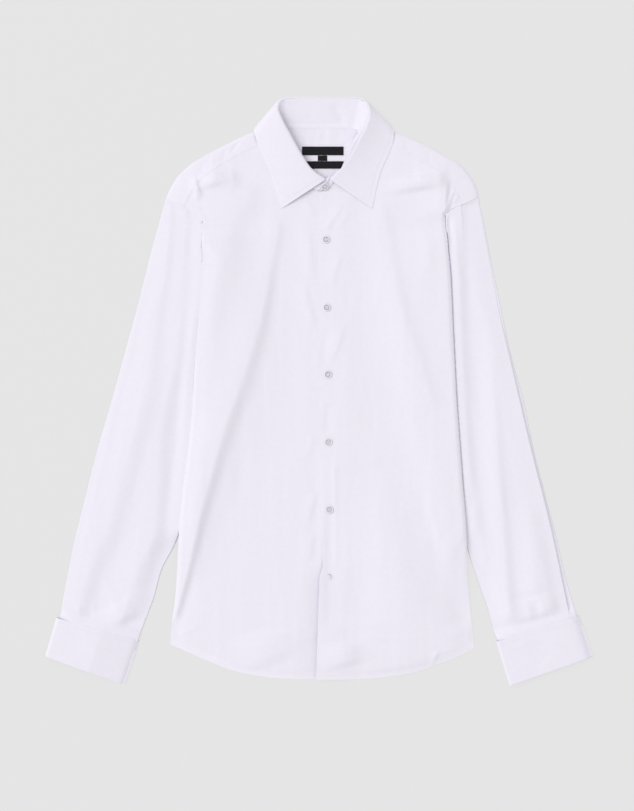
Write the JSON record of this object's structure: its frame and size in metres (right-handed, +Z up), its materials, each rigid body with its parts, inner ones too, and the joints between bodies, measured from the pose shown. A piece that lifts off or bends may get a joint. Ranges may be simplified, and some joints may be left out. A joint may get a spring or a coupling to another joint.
{
  "type": "dress shirt",
  "caption": "Long sleeve dress shirt laid flat on its back, buttoned to the neck, with a turn-down collar, a shoulder yoke, a curved hem and turned-back double cuffs.",
  "frame": {"origin": "middle of the shirt's outline as it lies, on the surface that it lies on", "axes": "+X to the wearer's left, which is the right of the picture; +Y from the hem to the collar; +Z up from the surface, out of the wearer's chest"},
  "size_m": [0.7644, 0.8246, 0.0236],
  "materials": {
    "shirting": "fine smooth white cotton shirting, matt",
    "pearl_button": "pearly grey-white shirt button, semi-gloss",
    "label_cloth": "bare black woven label"
  },
  "bodies": {
    "root": {"back_panel": "shirting", "yoke": "shirting", "front_left": "shirting", "front_right": "shirting", "sleeve_left": "shirting", "sleeve_right": "shirting", "cuff_left": "shirting", "cuff_right": "shirting", "collar_stand": "shirting", "collar_leaf": "shirting", "button_collar": "pearl_button", "button_1": "pearl_button", "button_2": "pearl_button", "button_3": "pearl_button", "button_4": "pearl_button", "button_5": "pearl_button", "button_6": "pearl_button", "label_main": "label_cloth", "label_size_tab": "label_cloth", "label_lower": "label_cloth"}
  },
  "joints": []
}
